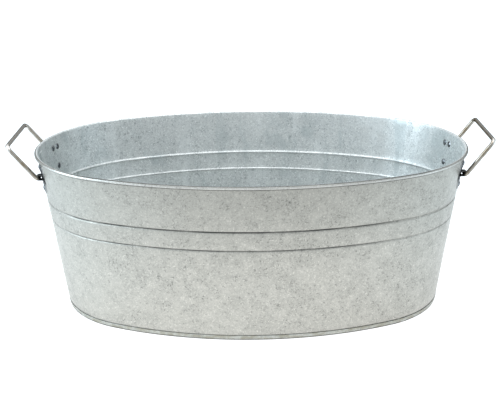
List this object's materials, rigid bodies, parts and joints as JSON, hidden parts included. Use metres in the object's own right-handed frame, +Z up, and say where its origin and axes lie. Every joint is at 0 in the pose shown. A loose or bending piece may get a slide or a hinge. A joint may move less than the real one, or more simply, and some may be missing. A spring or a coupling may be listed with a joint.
{
  "type": "oval ice bucket",
  "caption": "Oval galvanised steel ice tub with tapered walls, two rolled grooves, a wired rim, a folded bottom seam and swinging wire handles.",
  "frame": {"origin": "centre of the oval on the surface that the tub stands on", "axes": "+X along the oval's length towards the right-hand handle, -Y to the front, +Z up"},
  "size_m": [0.6397, 0.3864, 0.2359],
  "materials": {
    "galvanised_wall": "hot-dipped zinc with fine spangle, satin",
    "galvanised_bottom": "hot-dipped zinc with fine spangle, satin",
    "seam_sealant": "matt grey sealant",
    "rim_wire_steel": "plain drawn wire, hidden in the rim roll",
    "ear_steel": "pressed galvanised sheet",
    "rivet_steel": "set zinc-plated rivets",
    "handle_wire": "drawn and plated wire, semi-bright with a warm tint"
  },
  "bodies": {
    "tub": {"wall_front": "galvanised_wall", "wall_rear": "galvanised_wall", "bottom_pan": "galvanised_bottom", "bottom_seal": "seam_sealant", "rim_wire": "rim_wire_steel", "ear_right_rear": "ear_steel", "ear_right_front": "ear_steel", "ear_left_rear": "ear_steel", "ear_left_front": "ear_steel", "rivets_right_rear": "rivet_steel", "rivets_right_front": "rivet_steel", "rivets_left_rear": "rivet_steel", "rivets_left_front": "rivet_steel"},
    "right_bail": {"handle_right": "handle_wire"},
    "left_bail": {"handle_left": "handle_wire"}
  },
  "joints": [
    {"name": "handle_right_swing", "type": "hinge", "parent": "tub", "child": "right_bail", "pos_m": [0.2813, 0, 0.1875], "axis": [0, 1, 0], "range_deg": [-30, 143]},
    {"name": "handle_left_swing", "type": "hinge", "parent": "tub", "child": "left_bail", "pos_m": [-0.2813, 0, 0.1875], "axis": [0, -1, 0], "range_deg": [-33, 140]}
  ]
}
